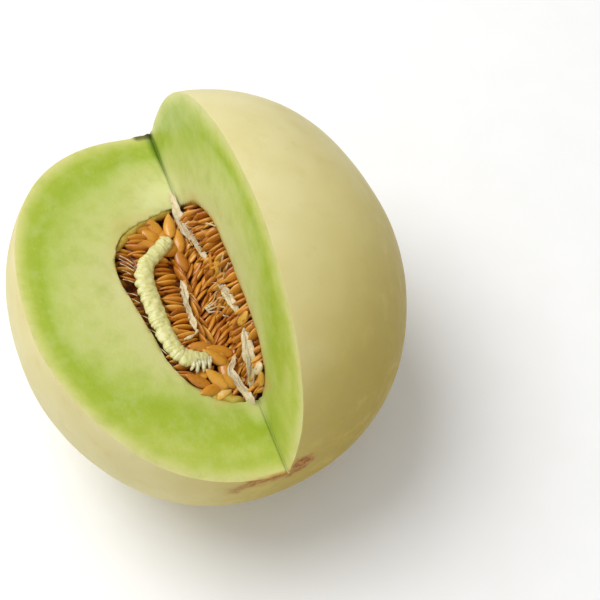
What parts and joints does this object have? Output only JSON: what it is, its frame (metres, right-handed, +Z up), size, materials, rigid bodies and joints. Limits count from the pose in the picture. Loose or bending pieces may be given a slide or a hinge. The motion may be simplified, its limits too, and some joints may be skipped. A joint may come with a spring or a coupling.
{
  "type": "cut honeydew melon",
  "caption": "Round pale honeydew melon lying on its side, with one wedge cut out from stem to blossom end to show the green flesh and the seed cavity.",
  "frame": {"origin": "middle of the small flat spot on the rind that the melon rests on", "axes": "+Z up, out of the surface it lies on; the melon's long axis is level, with the blossom end towards -Y and 25 degrees to +X"},
  "size_m": [0.1665, 0.1699, 0.1613],
  "materials": {
    "melon": "smooth pale cream-green rind, moist pale green flesh where it is cut",
    "seeds": "moist, orange to tan",
    "placenta_ribbon": "moist, pale yellow-green, finely ribbed",
    "strands": "moist, cream, fibrous"
  },
  "bodies": {
    "root": {"melon": "melon", "seeds_left_bank": "seeds", "seeds_right_bank": "seeds", "placenta_ribbon": "placenta_ribbon", "strand_stem_end": "strands", "strand_left_bank": "strands", "strand_middle": "strands", "strand_blossom_end": "strands"}
  },
  "joints": []
}
